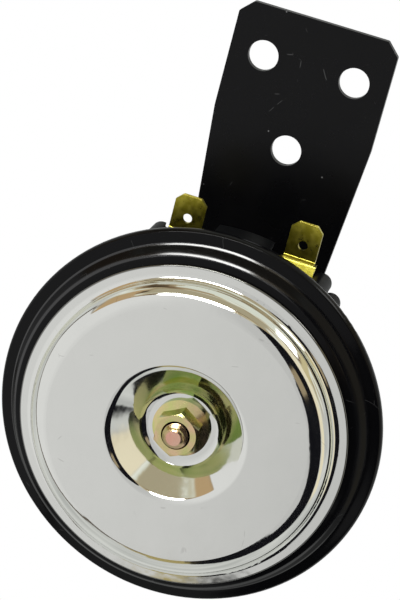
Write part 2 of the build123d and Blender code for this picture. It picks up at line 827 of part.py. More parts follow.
def hex_nut(back, height, width, bore_radius, centre):
    """Hexagon nut between two depths, its corners bevelled at the back."""
    corner = hex_across(width)
    bevel_drop = (corner - width / 2) * tan(radians(nut_chamfer_angle))
    nut_axis = Axis((centre[0], 0, axis_z + centre[1]), (0, 1, 0))
    nut_section = Plane(
        origin=(centre[0], rim_y, axis_z + centre[1]), x_dir=(0, 1, 0), z_dir=(1, 0, 0)
    )
    with BuildPart() as nut:
        with BuildSketch(station(back)):
            with Locations(centre):
                RegularPolygon(width / 2, 6, major_radius=False)
        extrude(amount=height)
        with BuildSketch(nut_section):
            with BuildLine():
                Polyline(
                    (back - height, bore_radius),
                    (back - height, corner),
                    (back - bevel_drop, corner),
                    (back, width / 2),
                    (back, bore_radius),
                    close=True,
                )
            make_face()
        revolve(axis=nut_axis, mode=Mode.INTERSECT)
    return nut


adjusting_lock_nut = hex_nut(
    housing_rear_depth + lock_nut_height,
    lock_nut_height,
    lock_nut_width_across_flats,
    screw_radius + thread_clearance,
    (screw_offset_x, -screw_offset_down),
)
adjusting_lock_nut.part.label = "adjusting_lock_nut"
export_step(adjusting_lock_nut.part, "parts/adjusting_lock_nut.step")

# The thin core nut clamps the core in the housing, and the bracket seats on it.
core_nut = hex_nut(
    bracket_front,
    core_nut_height,
    bracket_nut_width_across_flats,
    core_stud_radius + thread_clearance,
    (0, 0),
)
core_nut.part.label = "core_nut"
export_step(core_nut.part, "parts/core_nut.step")

with BuildPart() as bracket_lock_washer:
    with BuildSketch(station(washer_back)):
        Circle(lock_washer_outer_radius)
        Circle(lock_washer_inner_radius, mode=Mode.SUBTRACT)
        with Locations((lock_washer_outer_radius / 2, 0)):
            Rectangle(lock_washer_outer_radius, lock_washer_split, mode=Mode.SUBTRACT)
    extrude(amount=lock_washer_thickness)
bracket_lock_washer.part.label = "bracket_lock_washer"
export_step(bracket_lock_washer.part, "parts/bracket_lock_washer.step")

bracket_nut = hex_nut(
    bracket_nut_back,
    bracket_nut_height,
    bracket_nut_width_across_flats,
    core_stud_radius + thread_clearance,
    (0, 0),
)
bracket_nut.part.label = "bracket_nut"
export_step(bracket_nut.part, "parts/bracket_nut.step")


# Brass blade terminals: a tail into the housing, a wide base leaning back to a ledge, and the blade.
for name, centre_x, drop in (
    ("terminal_left", terminal_centre_x - blade_offset_x, left_terminal_drop),
    ("terminal_right", terminal_centre_x + blade_offset_x, 0),
):
    blade_top = blade_top_height - drop
    ledge_height = terminal_joggle_height - drop
    with BuildPart() as terminal:
        with BuildSketch(Plane(origin=(centre_x, rim_y, axis_z), x_dir=(0, 1, 0), z_dir=(1, 0, 0))):
            with BuildLine():
                FilletPolyline(
                    (base_front, terminal_tail_height),
                    (base_front, terminal_foot_height - drop),
                    (base_front + terminal_slope_depth, ledge_height),
                    (blade_depth, ledge_height),
                    (blade_depth, blade_top),
                    radius=[terminal_outer_bend, terminal_outer_bend, terminal_inner_bend],
                )
                offset(amount=blade_thickness, side=Side.RIGHT)
            make_face()
        extrude(amount=terminal_base_width / 2, both=True)
        with BuildSketch(station(blade_back)) as blade_outline:
            with Locations((centre_x, blade_top)):
                Rectangle(blade_width, blade_top - terminal_base_height, align=(Align.CENTER, Align.MAX))
            chamfer(blade_outline.vertices().group_by(Axis.Y)[-1], length=blade_tip_chamfer)
            with Locations((centre_x, terminal_base_height)):
                Rectangle(
                    terminal_base_width,
                    terminal_shoulder_height - drop - terminal_base_height,
                    align=(Align.CENTER, Align.MIN),
                )
                Rectangle(
                    terminal_tail_width,
                    terminal_base_height - terminal_tail_height,
                    align=(Align.CENTER, Align.MAX),
                )
            with Locations((centre_x, blade_top - blade_hole_drop)):
                Circle(blade_hole_radius, mode=Mode.SUBTRACT)
        extrude(amount=blade_back - base_front, mode=Mode.INTERSECT)
        blade_tip = terminal.faces().sort_by(Axis.Z)[-1]
        chamfer(blade_tip.edges().filter_by(Axis.X), length=blade_edge_bevel)
    terminal.part.label = name
    export_step(terminal.part, f"parts/{name}.step")

# Moulded terminal block on the back of the seam flange, slotted for the two terminals.
block_plane = Plane(
    origin=(0, rim_y, axis_z),
    x_dir=(0, 1, 0),
    z_dir=(cos(radians(block_half_angle)), 0, sin(radians(block_half_angle))),
)
divider_plane = Plane(
    origin=(0, rim_y, axis_z),
    x_dir=(0, 1, 0),
    z_dir=(cos(radians(divider_half_angle)), 0, sin(radians(divider_half_angle))),
)
with BuildPart() as terminal_block:
    with BuildSketch(block_plane):
        with BuildLine():
            Polyline(
                (lip_front, block_outer_radius),
                (lip_front, block_inner_radius + housing_boss_round),
                (lip_front + housing_boss_round, block_inner_radius),
                (block_back, block_inner_radius),
                (block_back, block_outer_radius),
                close=True,
            )
        make_face()
    revolve(axis=horn_axis, revolution_arc=2 * block_half_angle)
    with BuildSketch(divider_plane):
        with BuildLine():
            Polyline(
                (block_step_depth, block_inner_radius),
                (block_step_depth, divider_radius),
                (block_back, divider_radius),
                (block_back, block_inner_radius),
                close=True,
            )
        make_face()
    revolve(axis=horn_axis, revolution_arc=2 * divider_half_angle)
    with BuildSketch(station(block_back)):
        for angle, rise in zip(post_angles, post_rises):
            centre_radius = block_outer_radius + rise
            for side in (-1, 1):
                with Locations(
                    (
                        side * centre_radius * sin(radians(angle)),
                        centre_radius * cos(radians(angle)),
                    )
                ):
                    Circle(post_radius)
    extrude(amount=block_back - block_step_depth)
    with BuildSketch(station(block_back)) as tongues:
        Circle(block_inner_radius + tongue_wall)
        Circle(tongue_inner_radius, mode=Mode.SUBTRACT)
        with Locations((terminal_centre_x, housing_radius)):
            with GridLocations(2 * blade_offset_x, 0, 2, 1):
                Rectangle(tongue_width, housing_radius, mode=Mode.INTERSECT)
    extrude(amount=block_back - tongue_front)
    with BuildSketch(station(base_back + block_slot_play)):
        with Locations((terminal_centre_x, terminal_base_height - block_slot_play)):
            with GridLocations(2 * blade_offset_x, 0, 2, 1):
                Rectangle(
                    terminal_base_width + 2 * block_slot_play,
                    rim_radius - terminal_base_height,
                    align=(Align.CENTER, Align.MIN),
                )
        with Locations((terminal_centre_x, terminal_base_height)):
            with GridLocations(2 * blade_offset_x, 0, 2, 1):
                Rectangle(
                    terminal_tail_width + 2 * block_slot_play,
                    terminal_base_height,
                    align=(Align.CENTER, Align.MAX),
                )
    extrude(amount=blade_thickness + 2 * block_slot_play, mode=Mode.SUBTRACT)
    with BuildSketch(station(block_back)):
        for side, drop in ((-1, left_terminal_drop), (1, 0)):
            with Locations(
                (
                    terminal_centre_x + side * blade_offset_x,
                    terminal_foot_height - drop - block_slot_play,
                )
            ):
                Rectangle(
                    terminal_base_width + 2 * block_slot_play,
                    block_outer_radius,
                    align=(Align.CENTER, Align.MIN),
                )
    extrude(amount=block_back - base_back, mode=Mode.SUBTRACT)
terminal_block.part.label = "terminal_block"
export_step(terminal_block.part, "parts/terminal_block.step")
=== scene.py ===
import math
import bpy
from mathutils import Matrix, Vector


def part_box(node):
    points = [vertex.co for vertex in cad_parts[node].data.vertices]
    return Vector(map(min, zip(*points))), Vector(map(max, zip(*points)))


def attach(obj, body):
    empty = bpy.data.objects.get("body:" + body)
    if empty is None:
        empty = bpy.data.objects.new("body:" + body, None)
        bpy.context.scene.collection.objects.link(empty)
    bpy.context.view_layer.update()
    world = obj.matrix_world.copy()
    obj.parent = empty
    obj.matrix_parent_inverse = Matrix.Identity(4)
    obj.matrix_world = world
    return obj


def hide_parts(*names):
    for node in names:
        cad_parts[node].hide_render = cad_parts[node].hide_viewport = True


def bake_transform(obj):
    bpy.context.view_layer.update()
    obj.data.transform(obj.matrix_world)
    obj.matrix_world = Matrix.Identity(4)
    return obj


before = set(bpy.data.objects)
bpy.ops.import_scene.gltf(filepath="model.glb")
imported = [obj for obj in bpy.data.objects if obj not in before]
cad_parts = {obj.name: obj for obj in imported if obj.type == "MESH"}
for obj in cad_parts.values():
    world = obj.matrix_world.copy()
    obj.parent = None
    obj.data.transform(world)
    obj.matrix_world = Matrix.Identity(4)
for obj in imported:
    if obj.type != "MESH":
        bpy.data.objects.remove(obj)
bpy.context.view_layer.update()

for loaded in bpy.context.selected_objects:
    loaded.select_set(False)

# ---------------------------------------------------------------- camera
# The horn is seen from in front and a little above, rolled so that its bracket leans to the right.
camera_place = Vector((0.058573, -0.425747, 0.119686))
camera_right = Vector((0.939922, 0.239044, 0.243730))
camera_up = Vector((-0.307716, 0.284048, 0.908090))
camera_data = bpy.data.cameras.new("studio_camera")
camera_data.lens = 133.03
camera_data.sensor_width = 36.0
camera_data.clip_end = 20.0
camera = bpy.data.objects.new("studio_camera", camera_data)
camera_axes = Matrix((camera_right, camera_up, camera_right.cross(camera_up))).transposed()
camera.matrix_world = Matrix.Translation(camera_place) @ camera_axes.to_4x4()
bpy.context.scene.collection.objects.link(camera)
bpy.context.scene.camera = camera
bpy.context.scene.view_settings.view_transform = "Standard"

# ---------------------------------------------------------------- studio
# A plain pale floor under the hanging horn, with a soft room all round it. The camera sees the floor
# and the room as even white. What the polished pieces mirror is a large pale card in front, dark
# cloth to the right of it and below, two bright windows above, and a pale, uneven room beyond.
horn_centre = (0.0, -0.040, -0.048)
floor_height = -0.30
card_direction = Vector((-0.148, -0.929, -0.341)).normalized()
above_card = (Vector((0, 0, 1)) - card_direction.z * card_direction).normalized()
right_of_card = above_card.cross(card_direction)
card_grey = 0.66
panel_softness = 0.012


def mirrored_room():
    """Node group that gives the colour of the room in a direction seen from the horn."""
    room = bpy.data.node_groups.new("mirrored_room", "ShaderNodeTree")
    room.interface.new_socket("Direction", in_out="INPUT", socket_type="NodeSocketVector")
    room.interface.new_socket("Color", in_out="OUTPUT", socket_type="NodeSocketColor")
    nodes, links = room.nodes, room.links
    way_in = nodes.new("NodeGroupInput")
    way_out = nodes.new("NodeGroupOutput")

    def fill(socket, value):
        """Sets a socket, or links it to another."""
        if isinstance(value, bpy.types.NodeSocket):
            links.new(value, socket)
        else:
            socket.default_value = value

    def toward(direction):
        """How far the direction asked for points along another, from -1 to 1."""
        dot = nodes.new("ShaderNodeVectorMath")
        dot.operation = "DOT_PRODUCT"
        dot.inputs[1].default_value = direction
        links.new(way_in.outputs["Direction"], dot.inputs[0])
        return dot.outputs["Value"]

    def worked(operation, first, second=0.0, third=0.0):
        """One sum."""
        node = nodes.new("ShaderNodeMath")
        node.operation = operation
        for socket, value in zip(node.inputs, (first, second, third)):
            fill(socket, value)
        return node.outputs[0]

    def ramp(value, stops):
        """Colour ramp over a value, from (place, colour or grey) stops."""
        node = nodes.new("ShaderNodeValToRGB")
        elements = node.color_ramp.elements
        elements.remove(elements[1])
        for index, (place, colour) in enumerate(stops):
            element = elements[0] if index == 0 else elements.new(place)
            element.position = place
            element.color = (*colour, 1) if isinstance(colour, tuple) else (colour, colour, colour, 1)
        links.new(value, node.inputs["Fac"])
        return node.outputs["Color"]

    def step_up(value, low, high):
        """0 below one limit and 1 above the other."""
        node = nodes.new("ShaderNodeMapRange")
        node.interpolation_type = "SMOOTHSTEP"
        node.inputs["From Min"].default_value = low
        node.inputs["From Max"].default_value = high
        links.new(value, node.inputs["Value"])
        return node.outputs["Result"]

    def laid_over(under, mask, over):
        """A colour laid on what is under it by a mask."""
        node = nodes.new("ShaderNodeMix")
        node.data_type = "RGBA"
        fill(node.inputs["Factor"], mask)
        fill(node.inputs[6], under)
        fill(node.inputs[7], (*over, 1) if isinstance(over, tuple) else over)
        return node.outputs[2]

    # Angle from the middle of the card, and place round it clockwise from below, both 0 to 1.
    angle = worked("DIVIDE", worked("ARCCOSINE", worked("MINIMUM", toward(card_direction), 0.99999)), math.pi)
    turn = worked("ARCTAN2", toward(right_of_card), toward(above_card))
    place = worked("MULTIPLY_ADD", turn, 0.5 / math.pi, 0.5)
    unevenness = nodes.new("ShaderNodeTexNoise")
    unevenness.inputs["Scale"].default_value = 2.2
    unevenness.inputs["Detail"].default_value = 2
    links.new(way_in.outputs["Direction"], unevenness.inputs["Vector"])
    stray = worked("SUBTRACT", unevenness.outputs["Fac"], 0.5)
    loose_angle = worked("MULTIPLY_ADD", stray, 0.03, angle)
    loose_place = worked("MULTIPLY_ADD", stray, 0.015, place)

    def panel(under, left, right, near, far, colour):
        """Soft-edged panel between two places round the card and two angles from it."""
        soft = panel_softness
        sides = worked(
            "MULTIPLY", step_up(loose_place, left, left + soft), step_up(loose_place, right, right - soft)
        )
        ends = worked(
            "MULTIPLY", step_up(loose_angle, near, near + soft), step_up(loose_angle, far, far - soft)
        )
        return laid_over(under, worked("MULTIPLY", sides, ends), colour)

    stretched = nodes.new("ShaderNodeCombineXYZ")
    fill(stretched.inputs["X"], worked("MULTIPLY", loose_angle, 11.0))
    fill(stretched.inputs["Y"], worked("MULTIPLY", loose_place, 9.0))
    bands = nodes.new("ShaderNodeTexNoise")
    bands.inputs["Scale"].default_value = 1.0
    bands.inputs["Detail"].default_value = 2
    links.new(stretched.outputs["Vector"], bands.inputs["Vector"])
    things_above = ramp(
        bands.outputs["Fac"],
        (
            (0.34, (0.05, 0.035, 0.02)),
            (0.41, (0.30, 0.21, 0.12)),
            (0.47, (0.52, 0.44, 0.28)),
            (0.53, (0.72, 0.74, 0.64)),
            (0.60, (0.86, 0.88, 0.80)),
            (0.68, (0.45, 0.36, 0.22)),
        ),
    )
    pale_room = ramp(unevenness.outputs["Fac"], ((0.35, (0.50, 0.51, 0.50)), (0.65, (0.70, 0.71, 0.69))))
    above = worked("MULTIPLY", step_up(loose_place, 0.29, 0.33), step_up(loose_place, 0.76, 0.70))
    room_colours = laid_over(pale_room, above, things_above)
    room_colours = panel(room_colours, 0.40, 0.60, 0.62, 0.80, (0.74, 0.77, 0.68))
    room_colours = panel(room_colours, 0.415, 0.53, 0.30, 0.40, (16.0, 16.0, 15.6))
    room_colours = panel(room_colours, 0.585, 0.64, 0.56, 0.72, (5.0, 5.0, 4.9))
    room_colours = panel(room_colours, 0.64, 0.685, 0.50, 0.76, (0.60, 0.52, 0.30))
    room_colours = panel(room_colours, 0.59, 0.84, 0.42, 0.52, (0.86, 0.78, 0.58))
    room_colours = panel(room_colours, 0.385, 0.58, 0.41, 0.56, (0.42, 0.37, 0.25))
    room_colours = panel(room_colours, 0.31, 0.385, 0.38, 0.56, (0.50, 0.35, 0.19))
    cloth_reach = ramp(
        place,
        (
            (0.545, 0.0), (0.56, 0.38), (0.59, 0.42), (0.66, 0.43), (0.75, 0.41), (0.80, 0.42),
            (0.83, 0.42), (0.86, 0.38), (0.917, 0.245), (0.958, 0.17), (0.972, 0.0),
        ),
    )
    cloth = step_up(worked("SUBTRACT", cloth_reach, loose_angle), 0.0, panel_softness)
    room_colours = laid_over(room_colours, cloth, (0.006, 0.006, 0.008))
    room_colours = panel(room_colours, 0.63, 0.68, 0.15, 0.30, (0.34, 0.27, 0.17))
    room_colours = laid_over(
        room_colours,
        worked("MULTIPLY", step_up(place, 0.955, 0.962), step_up(angle, 0.16, 0.14)),
        (0.40, 0.33, 0.14),
    )
    room_colours = laid_over(
        room_colours,
        worked("MULTIPLY", step_up(place, 0.028, 0.020), step_up(angle, 0.13, 0.11)),
        (0.36, 0.29, 0.13),
    )
    card_reach = ramp(
        place,
        (
            (0.0, 0.062), (0.06, 0.08), (0.097, 0.17), (0.153, 0.29), (0.194, 0.41), (0.236, 0.52),
            (0.300, 0.52), (0.315, 0.40), (0.38, 0.38), (0.43, 0.35), (0.50, 0.325), (0.556, 0.355),
            (0.59, 0.27), (0.639, 0.175), (0.667, 0.105), (0.708, 0.10), (0.75, 0.085), (0.778, 0.145),
            (0.8125, 0.19), (0.847, 0.16), (0.889, 0.075), (0.93, 0.06), (1.0, 0.062),
        ),
    )
    card_shade = ramp(
        worked("MULTIPLY_ADD", toward(right_of_card), 0.5, 0.5),
        ((0.30, card_grey * 1.16), (0.50, card_grey), (0.58, card_grey * 0.86)),
    )
    within_card = worked("SUBTRACT", card_reach, angle)
    edge = worked("MULTIPLY", step_up(within_card, -0.036, -0.024), step_up(place, 0.33, 0.29))
    room_colours = laid_over(room_colours, edge, (0.10, 0.08, 0.06))
    card = step_up(within_card, 0.0, 0.006)
    links.new(laid_over(room_colours, card, card_shade), way_out.inputs["Color"])
    return room


room_group = mirrored_room()


def after_two_mirrors(nodes, links, room, light_path):
    """The room's colours, with the lamp taken down where two polished faces have passed it on."""
    twice = nodes.new("ShaderNodeMath")
    twice.operation = "GREATER_THAN"
    twice.inputs[1].default_value = 1.5
    links.new(light_path.outputs["Glossy Depth"], twice.inputs[0])
    softened = nodes.new("ShaderNodeMixRGB")
    softened.blend_type = "DARKEN"
    softened.inputs["Color2"].default_value = (0.72, 0.72, 0.66, 1)
    links.new(twice.outputs[0], softened.inputs["Fac"])
    links.new(room.outputs["Color"], softened.inputs["Color1"])
    return softened.outputs["Color"]


bpy.ops.mesh.primitive_plane_add(size=12.0, location=(0, 0, 0))
floor = bpy.context.active_object
floor.name = "studio_floor"
bpy.ops.object.mode_set(mode="EDIT")
bpy.ops.mesh.subdivide(number_cuts=3)
bpy.ops.transform.translate(value=(0, 0, floor_height))
bpy.ops.object.mode_set(mode="OBJECT")
floor_paint = bpy.data.materials.new("pale_floor")
floor_paint.use_nodes = True
nodes, links = floor_paint.node_tree.nodes, floor_paint.node_tree.links
nodes.remove(nodes["Principled BSDF"])
place = nodes.new("ShaderNodeNewGeometry")
from_horn = nodes.new("ShaderNodeVectorMath")
from_horn.operation = "SUBTRACT"
from_horn.inputs[1].default_value = horn_centre
links.new(place.outputs["Position"], from_horn.inputs[0])
direction = nodes.new("ShaderNodeVectorMath")
direction.operation = "NORMALIZE"
links.new(from_horn.outputs["Vector"], direction.inputs[0])
room_below = nodes.new("ShaderNodeGroup")
room_below.node_tree = room_group
links.new(direction.outputs["Vector"], room_below.inputs["Direction"])
mirrored_floor = nodes.new("ShaderNodeEmission")
light_path = nodes.new("ShaderNodeLightPath")
links.new(after_two_mirrors(nodes, links, room_below, light_path), mirrored_floor.inputs["Color"])
seen_floor = nodes.new("ShaderNodeEmission")
seen_floor.inputs["Color"].default_value = (1, 1, 1, 1)
which_ray = nodes.new("ShaderNodeMixShader")
links.new(light_path.outputs["Is Glossy Ray"], which_ray.inputs["Fac"])
links.new(seen_floor.outputs["Emission"], which_ray.inputs[1])
links.new(mirrored_floor.outputs["Emission"], which_ray.inputs[2])
links.new(which_ray.outputs["Shader"], nodes["Material Output"].inputs["Surface"])
floor.data.materials.append(floor_paint)

surround = bpy.data.worlds.new("soft_room")
surround.use_nodes = True
nodes, links = surround.node_tree.nodes, surround.node_tree.links
even_light = nodes["Background"]
even_light.inputs["Color"].default_value = (1, 1, 1, 1)
room_light = nodes.new("ShaderNodeBackground")
coordinates = nodes.new("ShaderNodeTexCoord")
room_above = nodes.new("ShaderNodeGroup")
room_above.node_tree = room_group
links.new(coordinates.outputs["Generated"], room_above.inputs["Direction"])
light_path = nodes.new("ShaderNodeLightPath")
links.new(after_two_mirrors(nodes, links, room_above, light_path), room_light.inputs["Color"])
which_ray = nodes.new("ShaderNodeMixShader")
links.new(light_path.outputs["Is Glossy Ray"], which_ray.inputs["Fac"])
links.new(even_light.outputs["Background"], which_ray.inputs[1])
links.new(room_light.outputs["Background"], which_ray.inputs[2])
links.new(which_ray.outputs["Shader"], nodes["World Output"].inputs["Surface"])
bpy.context.scene.world = surround


def soft_lamp(name, place, aim, size, power):
    """Square area lamp at a place, turned to an aim point."""
    lamp_data = bpy.data.lights.new(name, "AREA")
    lamp_data.shape = "SQUARE"
    lamp_data.size = size
    lamp_data.energy = power
    lamp = bpy.data.objects.new(name, lamp_data)
    direction = Vector(aim) - Vector(place)
    lamp.matrix_world = Matrix.Translation(place) @ direction.to_track_quat("-Z", "Y").to_matrix().to_4x4()
    bpy.context.scene.collection.objects.link(lamp)
    return lamp


soft_lamp("overhead_lamp", (-0.25, -0.35, 1.2), horn_centre, 0.35, 5.0).visible_glossy = False

# ---------------------------------------------------------------- core, studs and nuts
# Turned and cold-headed steel pieces with a thin bright zinc plate, and one bare iron armature. The
# core stud passes through the rear wall and clamps the core, the housing and the bracket together.


def bare_material(name):
    """Material with its shader and output only, and short ways to reach its nodes."""
    material = bpy.data.materials.new(name)
    material.use_nodes = True
    return material, material.node_tree, material.node_tree.nodes["Principled BSDF"]


def give_material(material, *names):
    """Puts one material on CAD pieces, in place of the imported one."""
    for name in names:
        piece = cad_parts[name]
        piece.data.materials.clear()
        piece.data.materials.append(material)


def effect_group(name, inputs, outputs):
    """Empty node group with float inputs (name, value) and named outputs (name, kind)."""
    group = bpy.data.node_groups.new(name, "ShaderNodeTree")
    for socket, value in inputs:
        new = group.interface.new_socket(socket, in_out="INPUT", socket_type="NodeSocketFloat")
        new.default_value = value
    for socket, kind in outputs:
        group.interface.new_socket(socket, in_out="OUTPUT", socket_type=kind)
    return group, group.nodes.new("NodeGroupInput"), group.nodes.new("NodeGroupOutput")


def place_effect(tree, group, **values):
    """Group node in a material, with its own values."""
    node = tree.nodes.new("ShaderNodeGroup")
    node.node_tree = group
    for socket, value in values.items():
        node.inputs[socket.replace("_", " ")].default_value = value
    return node


def grain_effect():
    """Node group: uneven patches, the roughness they give, and a fine grain for a bump."""
    group, way_in, way_out = effect_group(
        "metal_grain",
        (("Patch Scale", 625.0), ("Patch Detail", 5.0), ("Least Roughness", 0.2), ("Most Roughness", 0.4),
         ("Grain Scale", 2500.0)),
        (("Patches", "NodeSocketFloat"), ("Roughness", "NodeSocketFloat"), ("Grain", "NodeSocketFloat")),
    )
    nodes, links = group.nodes, group.links
    coordinates = nodes.new("ShaderNodeTexCoord")
    patches = nodes.new("ShaderNodeTexNoise")
    links.new(way_in.outputs["Patch Scale"], patches.inputs["Scale"])
    links.new(way_in.outputs["Patch Detail"], patches.inputs["Detail"])
    links.new(coordinates.outputs["Object"], patches.inputs["Vector"])
    links.new(patches.outputs["Fac"], way_out.inputs["Patches"])
    shade = nodes.new("ShaderNodeMapRange")
    links.new(way_in.outputs["Least Roughness"], shade.inputs["To Min"])
    links.new(way_in.outputs["Most Roughness"], shade.inputs["To Max"])
    links.new(patches.outputs["Fac"], shade.inputs["Value"])
    links.new(shade.outputs["Result"], way_out.inputs["Roughness"])
    grain = nodes.new("ShaderNodeTexNoise")
    links.new(way_in.outputs["Grain Scale"], grain.inputs["Scale"])
    links.new(coordinates.outputs["Object"], grain.inputs["Vector"])
    links.new(grain.outputs["Fac"], way_out.inputs["Grain"])
    return group


grain_group = grain_effect()


def steel_look(name, colour, roughness, grain_scale):
    """Plated or bare steel: a metal with uneven roughness and a fine grain."""
    material, tree, shader = bare_material(name)
    finish = place_effect(
        tree, grain_group, Patch_Scale=grain_scale / 4, Grain_Scale=grain_scale,
        Least_Roughness=roughness * 0.7, Most_Roughness=roughness * 1.4,
    )
    tree.links.new(finish.outputs["Roughness"], shader.inputs["Roughness"])
    tint = tree.nodes.new("ShaderNodeMixRGB")
    tint.inputs["Color1"].default_value = (*[c * 0.8 for c in colour], 1)
    tint.inputs["Color2"].default_value = (*colour, 1)
    tree.links.new(finish.outputs["Patches"], tint.inputs["Fac"])
    tree.links.new(tint.outputs["Color"], shader.inputs["Base Color"])
    bump = tree.nodes.new("ShaderNodeBump")
    bump.inputs["Strength"].default_value = 0.15
    bump.inputs["Distance"].default_value = 0.00005
    tree.links.new(finish.outputs["Grain"], bump.inputs["Height"])
    tree.links.new(bump.outputs["Normal"], shader.inputs["Normal"])
    shader.inputs["Metallic"].default_value = 1.0
    return material


zinc_plate = steel_look("clear_zinc_plate", (0.62, 0.63, 0.65), 0.28, 2500)
give_material(
    zinc_plate, "core_nut", "bracket_nut", "bracket_lock_washer", "adjusting_lock_nut",
    "hub_washer", "hub_spacer", "pole_plate", "breaker_clamp", "breaker_rivet_left", "breaker_rivet_right",
    "plate_rivet_1", "plate_rivet_2", "plate_rivet_3", "plate_rivet_4", "fixed_contact_arm",
)
give_material(steel_look("turned_iron", (0.5, 0.5, 0.52), 0.3, 3000), "armature")

# The core stud and the adjusting screw carry a rolled thread, too fine to be cut into the solids.
for name, pitch in (("core_stud", 0.0010), ("adjusting_screw", 0.0007)):
    material = steel_look("threaded_" + name, (0.58, 0.58, 0.60), 0.30, 2500)
    nodes, links = material.node_tree.nodes, material.node_tree.links
    coordinates = nodes.new("ShaderNodeTexCoord")
    split = nodes.new("ShaderNodeSeparateXYZ")
    links.new(coordinates.outputs["Object"], split.inputs["Vector"])
    turns = nodes.new("ShaderNodeMath")
    turns.operation = "PINGPONG"
    turns.inputs[1].default_value = pitch / 2
    links.new(split.outputs["Y"], turns.inputs[0])
    ridges = nodes.new("ShaderNodeBump")
    ridges.inputs["Strength"].default_value = 1.0
    ridges.inputs["Distance"].default_value = 1.0
    links.new(turns.outputs[0], ridges.inputs["Height"])
    links.new(nodes["Bump"].outputs["Normal"], ridges.inputs["Normal"])
    links.new(ridges.outputs["Normal"], nodes["Principled BSDF"].inputs["Normal"])
    give_material(material, name)

give_material(
    steel_look("spring_steel", (0.42, 0.43, 0.46), 0.25, 3000), "diaphragm", "moving_contact_leaf"
)
give_material(
    steel_look("contact_metal", (0.56, 0.55, 0.53), 0.3, 3000),
    "fixed_contact_point", "moving_contact_point",
)
give_material(steel_look("enamelled_copper", (0.6, 0.26, 0.12), 0.35, 2500), "coil_winding")


def moulded_look(name, colour, roughness, grain_scale):
    """Moulded or pressed insulation: dull, with a fine grain."""
    material = steel_look(name, colour, roughness, grain_scale)
    material.node_tree.nodes["Principled BSDF"].inputs["Metallic"].default_value = 0.0
    material.node_tree.nodes["Principled BSDF"].inputs["Specular IOR Level"].default_value = 0.06
    return material


give_material(moulded_look("natural_nylon", (0.75, 0.73, 0.68), 0.5, 1200), "coil_bobbin")
give_material(
    moulded_look("brown_fibre", (0.32, 0.2, 0.12), 0.6, 1500),
    "breaker_base_insulator", "breaker_middle_insulator", "breaker_front_insulator",
)
give_material(moulded_look("black_fibre", (0.03, 0.03, 0.03), 0.7, 1500), "rim_gasket")
give_material(moulded_look("black_moulding", (0.003, 0.0033, 0.0038), 0.35, 900), "terminal_block")

# ---------------------------------------------------------------- housing, front cover and bracket
# Three steel pressings in a smooth black gloss enamel, with a slight orange peel. The bracket is a
# flat strip that has been handled: it carries fine hair scratches and a few specks of dust.
horn_axis_z = -0.0478
cover_curve_starts = 0.0320
cover_curve_ends = 0.0376
cover_edge_flat = 0.0374
disc_rim_shade_starts = 0.03205
disc_edge_starts = 0.0322
cup_wall_ends = 0.0128
cup_face_starts = 0.0142
enamel_black = (0.002, 0.002, 0.0024, 1)
scratch_grey = 0.05


def fine_scratches():
    """Node group: short hair scratches and dust specks from object coordinates, as masks."""
    group, way_in, way_out = effect_group(
        "fine_scratches",
        (("Line Scale", 130.0), ("Speck Scale", 700.0)),
        (("Scratches", "NodeSocketFloat"), ("Specks", "NodeSocketFloat")),
    )
    nodes, links = group.nodes, group.links
    coordinates = nodes.new("ShaderNodeTexCoord")
    bend = nodes.new("ShaderNodeTexNoise")
    bend.inputs["Scale"].default_value = 60
    links.new(coordinates.outputs["Object"], bend.inputs["Vector"])
    bent = nodes.new("ShaderNodeVectorMath")
    bent.operation = "MULTIPLY_ADD"
    bent.inputs[1].default_value = (0.004, 0.004, 0.004)
    links.new(bend.outputs["Color"], bent.inputs[0])
    links.new(coordinates.outputs["Object"], bent.inputs[2])
    lines = nodes.new("ShaderNodeTexVoronoi")
    lines.feature = "DISTANCE_TO_EDGE"
    links.new(way_in.outputs["Line Scale"], lines.inputs["Scale"])
    links.new(bent.outputs["Vector"], lines.inputs["Vector"])
    thin = nodes.new("ShaderNodeMapRange")
    thin.inputs["From Min"].default_value = 0.010
    thin.inputs["From Max"].default_value = 0.004
    links.new(lines.outputs["Distance"], thin.inputs["Value"])
    sparse = nodes.new("ShaderNodeTexNoise")
    sparse.inputs["Scale"].default_value = 330
    sparse.inputs["Detail"].default_value = 1
    links.new(coordinates.outputs["Object"], sparse.inputs["Vector"])
    kept = nodes.new("ShaderNodeMapRange")
    kept.inputs["From Min"].default_value = 0.64
    kept.inputs["From Max"].default_value = 0.70
    links.new(sparse.outputs["Fac"], kept.inputs["Value"])
    scratches = nodes.new("ShaderNodeMath")
    scratches.operation = "MULTIPLY"
    links.new(thin.outputs["Result"], scratches.inputs[0])
    links.new(kept.outputs["Result"], scratches.inputs[1])
    links.new(scratches.outputs[0], way_out.inputs["Scratches"])
    dust = nodes.new("ShaderNodeTexVoronoi")
    links.new(way_in.outputs["Speck Scale"], dust.inputs["Scale"])
    links.new(coordinates.outputs["Object"], dust.inputs["Vector"])
    small = nodes.new("ShaderNodeMapRange")
    small.inputs["From Min"].default_value = 0.14
    small.inputs["From Max"].default_value = 0.08
    links.new(dust.outputs["Distance"], small.inputs["Value"])
    chosen = nodes.new("ShaderNodeMapRange")
    chosen.inputs["From Min"].default_value = 0.93
    chosen.inputs["From Max"].default_value = 0.95
    links.new(dust.outputs["Color"], chosen.inputs["Value"])
    specks = nodes.new("ShaderNodeMath")
    specks.operation = "MULTIPLY"
    links.new(small.outputs["Result"], specks.inputs[0])
    links.new(chosen.outputs["Result"], specks.inputs[1])
    links.new(specks.outputs[0], way_out.inputs["Specks"])
    return group


scratch_group = fine_scratches()


